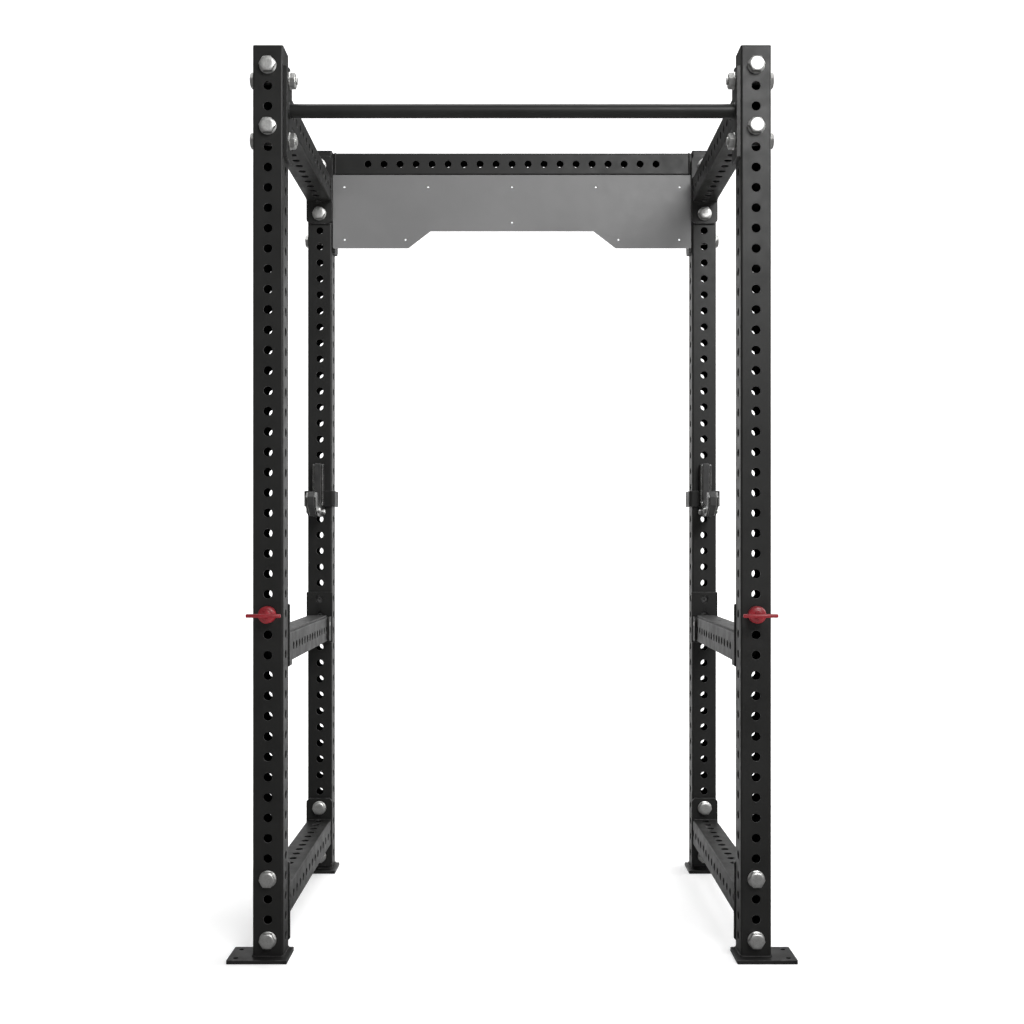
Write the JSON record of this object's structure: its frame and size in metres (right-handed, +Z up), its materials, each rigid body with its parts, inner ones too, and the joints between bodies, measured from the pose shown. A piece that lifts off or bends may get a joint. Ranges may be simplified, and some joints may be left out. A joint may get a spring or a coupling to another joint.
{
  "type": "power cage",
  "caption": "Free-standing power cage of perforated square posts with a pull-up bar, rear header panel, flip-up safety arms with red pull pins, and lift-off J-cups.",
  "frame": {"origin": "on the floor, at the middle of the footprint's bounding box", "axes": "+Z up; -Y is the open front with the pull-up bar, +Y the rear with the header panel; +X to the right as seen from the front"},
  "size_m": [1.4154, 0.9982, 2.286],
  "materials": {
    "black_powder_coat": "semi-gloss powder coat",
    "grey_panel": "satin grey powder coat",
    "zinc_hardware": "satin zinc plate",
    "black_plastic": "moulded matt",
    "uhmw_liner": "machined polyethylene",
    "red_grip": "red coated grip"
  },
  "bodies": {
    "frame": {"front_left_upright": "black_powder_coat", "front_right_upright": "black_powder_coat", "rear_left_upright": "black_powder_coat", "rear_right_upright": "black_powder_coat", "front_left_foot_plate": "black_powder_coat", "front_right_foot_plate": "black_powder_coat", "rear_left_foot_plate": "black_powder_coat", "rear_right_foot_plate": "black_powder_coat", "post_top_caps": "black_plastic", "upper_left_crossmember": "black_powder_coat", "upper_right_crossmember": "black_powder_coat", "lower_left_crossmember": "black_powder_coat", "lower_right_crossmember": "black_powder_coat", "upper_left_end_plates": "black_powder_coat", "upper_right_end_plates": "black_powder_coat", "lower_left_end_plates": "black_powder_coat", "lower_right_end_plates": "black_powder_coat", "crossmember_bolts": "zinc_hardware", "crossmember_nuts": "zinc_hardware", "pull_up_bar": "black_powder_coat", "pull_up_bar_end_plates": "black_powder_coat", "pull_up_bar_bolts": "zinc_hardware", "pull_up_bar_nuts": "zinc_hardware", "rear_crossmember": "black_powder_coat", "rear_crossmember_flanges": "black_powder_coat", "rear_crossmember_bolts": "zinc_hardware", "rear_crossmember_nuts": "zinc_hardware", "header_panel": "grey_panel", "left_saddle_bracket": "black_powder_coat", "right_saddle_bracket": "black_powder_coat", "left_hinge_bracket": "black_powder_coat", "right_hinge_bracket": "black_powder_coat", "left_hinge_pin": "zinc_hardware", "right_hinge_pin": "zinc_hardware"},
    "left_safety_arm": {"left_safety_arm": "black_powder_coat", "left_arm_liner": "uhmw_liner", "left_liner_screws": "zinc_hardware"},
    "left_pull_pin": {"left_pin_shaft": "zinc_hardware", "left_pin_knob": "red_grip", "left_pin_handle": "red_grip"},
    "left_j_cup": {"left_j_cup_bracket": "black_powder_coat", "left_j_cup_liner": "uhmw_liner", "left_j_cup_plates": "black_powder_coat", "left_j_cup_core": "uhmw_liner", "left_j_cup_bolts": "zinc_hardware"},
    "right_safety_arm": {"right_safety_arm": "black_powder_coat", "right_arm_liner": "uhmw_liner", "right_liner_screws": "zinc_hardware"},
    "right_pull_pin": {"right_pin_shaft": "zinc_hardware", "right_pin_knob": "red_grip", "right_pin_handle": "red_grip"},
    "right_j_cup": {"right_j_cup_bracket": "black_powder_coat", "right_j_cup_liner": "uhmw_liner", "right_j_cup_plates": "black_powder_coat", "right_j_cup_core": "uhmw_liner", "right_j_cup_bolts": "zinc_hardware"}
  },
  "joints": [
    {"name": "left_arm_lift", "type": "hinge", "parent": "frame", "child": "left_safety_arm", "pos_m": [-0.6096, 0.36852, 0.7872], "axis": [-1, 0, 0], "range_deg": [0, 50]},
    {"name": "right_arm_lift", "type": "hinge", "parent": "frame", "child": "right_safety_arm", "pos_m": [0.6096, 0.36852, 0.7872], "axis": [-1, 0, 0], "range_deg": [0, 50]},
    {"name": "left_pin_pull", "type": "slide", "parent": "frame", "child": "left_pull_pin", "axis": [0, -1, 0], "range_m": [0, 0.095]},
    {"name": "right_pin_pull", "type": "slide", "parent": "frame", "child": "right_pull_pin", "axis": [0, -1, 0], "range_m": [0, 0.095]},
    {"name": "left_j_cup_lift_off", "type": "slide", "parent": "frame", "child": "left_j_cup", "axis": [0, -1, 0], "range_m": [0, 0.09]},
    {"name": "right_j_cup_lift_off", "type": "slide", "parent": "frame", "child": "right_j_cup", "axis": [0, -1, 0], "range_m": [0, 0.09]}
  ]
}
